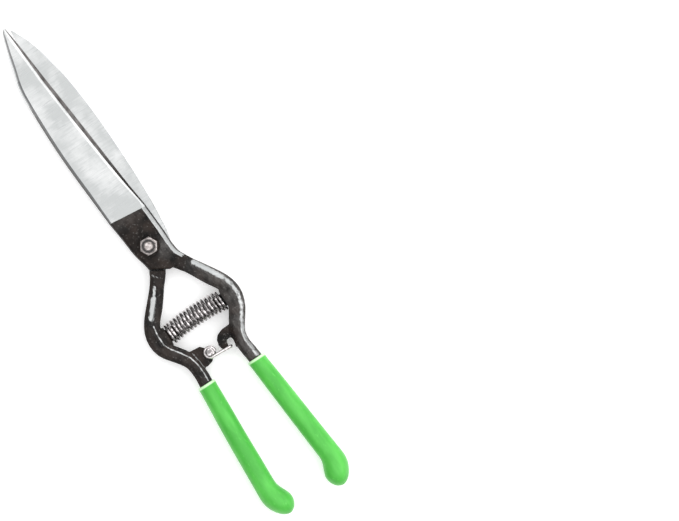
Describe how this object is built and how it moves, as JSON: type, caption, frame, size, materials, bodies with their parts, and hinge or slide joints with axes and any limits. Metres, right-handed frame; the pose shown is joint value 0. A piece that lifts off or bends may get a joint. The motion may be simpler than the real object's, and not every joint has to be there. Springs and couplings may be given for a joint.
{
  "type": "hedge shears",
  "caption": "Hedge shears with forged pointed blades, pivot bolt, coil return spring, wire bail latch and sleeved handles with knob ends.",
  "frame": {"origin": "middle of the pivot bolt head's flat outer face, on the pivot axis", "axes": "+Y along the closed blades to their tips, +Z along the pivot axis towards the nut, +X to the front half's handle"},
  "size_m": [0.0649, 0.3418, 0.0209],
  "materials": {
    "forged_black_steel": "oil-blackened forged steel",
    "ground_steel": "cross-ground bright steel",
    "green_vinyl": "soft semi-gloss vinyl",
    "plated_steel": "zinc plated",
    "spring_steel": "glossy black",
    "lock_ring_nylon": "moulded"
  },
  "bodies": {
    "rear_half": {"rear_forging": "forged_black_steel", "rear_grip_sleeve": "green_vinyl", "pivot_bolt": "plated_steel", "pivot_nut": "plated_steel", "nut_lock_ring": "lock_ring_nylon", "nut_washer": "plated_steel", "return_spring": "spring_steel", "rear_spring_peg": "forged_black_steel", "latch_rivet": "plated_steel"},
    "front_half": {"front_forging": "forged_black_steel", "front_grip_sleeve": "green_vinyl", "front_spring_peg": "forged_black_steel"},
    "latch_bail": {"latch_bail": "plated_steel"}
  },
  "joints": [
    {"name": "blade_pivot", "type": "hinge", "parent": "rear_half", "child": "front_half", "pos_m": [0, 0, 0], "axis": [0, 0, 1], "range_deg": [-0.8, 36], "stiffness_Nm_per_rad": 2, "springref_deg": 45.84, "deforming": ["return_spring"]},
    {"name": "latch_pivot", "type": "hinge", "parent": "rear_half", "child": "latch_bail", "pos_m": [-0.0045, -0.0735, 0.0085], "axis": [0, 0, 1], "range_deg": [-90, 14.5]}
  ]
}
